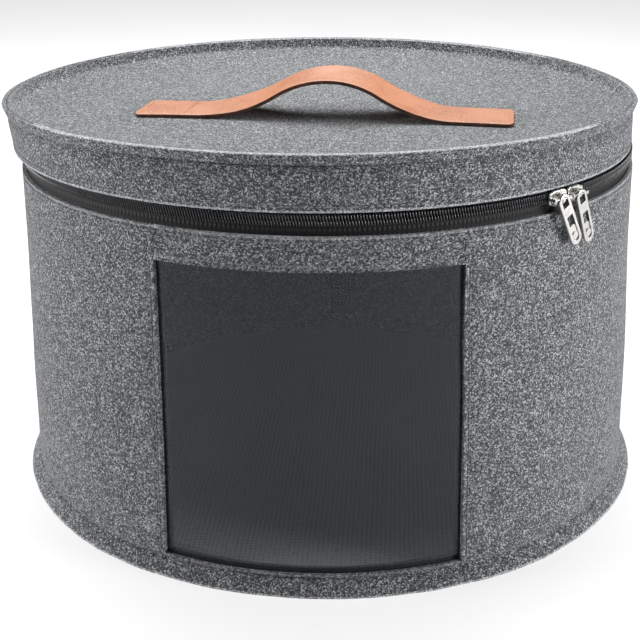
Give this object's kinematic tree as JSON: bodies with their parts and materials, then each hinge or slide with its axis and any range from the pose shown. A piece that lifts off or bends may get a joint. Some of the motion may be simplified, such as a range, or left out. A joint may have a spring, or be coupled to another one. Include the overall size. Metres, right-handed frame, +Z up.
{
  "type": "hat box",
  "caption": "Round grey felt hat box with a zip-round hinged lid, a clear front window and a leather carrying strap on top.",
  "frame": {"origin": "bottom centre of the box, on the surface it stands on", "axes": "+Z up; -Y out of the window's middle; +X to the right of someone facing the window"},
  "size_m": [0.4328, 0.433, 0.2815],
  "materials": {
    "felt_grey": "heather grey pressed felt",
    "board": "plain stiffener board",
    "lining": "thin non-woven cloth",
    "black_tape": "black woven polyester",
    "coil": "black nylon monofilament",
    "clear_film": "clear glossy PVC film",
    "thread_grey": "grey polyester thread",
    "thread_tan": "tan waxed thread",
    "nickel": "polished nickel-plated zinc",
    "leather": "smooth tan leather with a dark painted edge"
  },
  "bodies": {
    "box": {"body_wall": "felt_grey", "window_header": "felt_grey", "window_sill": "felt_grey", "base_panel": "felt_grey", "base_board": "board", "base_lining": "lining", "back_seam_tape": "black_tape", "window_sheet": "clear_film", "binding_left": "black_tape", "binding_right": "black_tape", "binding_bottom": "black_tape", "binding_top": "black_tape", "zip_tape_lower": "black_tape", "zip_coil_lower": "coil", "zip_end_tab_left": "felt_grey", "zip_end_tab_right": "felt_grey", "hinge_strip": "felt_grey", "body_hem_thread": "thread_grey", "base_seam_thread": "thread_grey", "window_thread_top": "thread_grey", "window_thread_bottom": "thread_grey", "window_thread_left": "thread_grey", "window_thread_right": "thread_grey"},
    "lid": {"lid_wall": "felt_grey", "lid_panel": "felt_grey", "lid_seam_thread": "thread_grey", "lid_hem_thread": "thread_grey", "zip_tape_upper": "black_tape", "zip_coil_upper": "coil", "handle_strap": "leather", "handle_stitches": "thread_tan", "handle_patch_left": "black_tape", "handle_patch_right": "black_tape"},
    "slider_left": {"slider_left": "nickel"},
    "slider_right": {"slider_right": "nickel"},
    "pull_left": {"pull_left": "nickel"},
    "pull_right": {"pull_right": "nickel"}
  },
  "joints": [
    {"name": "lid_hinge", "type": "hinge", "parent": "box", "child": "lid", "pos_m": [0, 0.214, 0.228], "axis": [-1, 0, 0], "range_deg": [0, 180], "deforming": ["hinge_strip"]},
    {"name": "zip_left", "type": "hinge", "parent": "box", "child": "slider_left", "pos_m": [0, 0, 0.2293], "axis": [0, 0, -1], "range_deg": [0, 187]},
    {"name": "zip_right", "type": "hinge", "parent": "box", "child": "slider_right", "pos_m": [0, 0, 0.2293], "axis": [0, 0, 1], "range_deg": [0, 98]},
    {"name": "pull_left_swing", "type": "hinge", "parent": "slider_left", "child": "pull_left", "pos_m": [0.14489, -0.15885, 0.2293], "axis": [-0.7388, -0.6739, 0], "range_deg": [0, 150]},
    {"name": "pull_right_swing", "type": "hinge", "parent": "slider_right", "child": "pull_right", "pos_m": [0.1563, -0.14764, 0.2293], "axis": [-0.6867, -0.727, 0], "range_deg": [0, 150]}
  ]
}
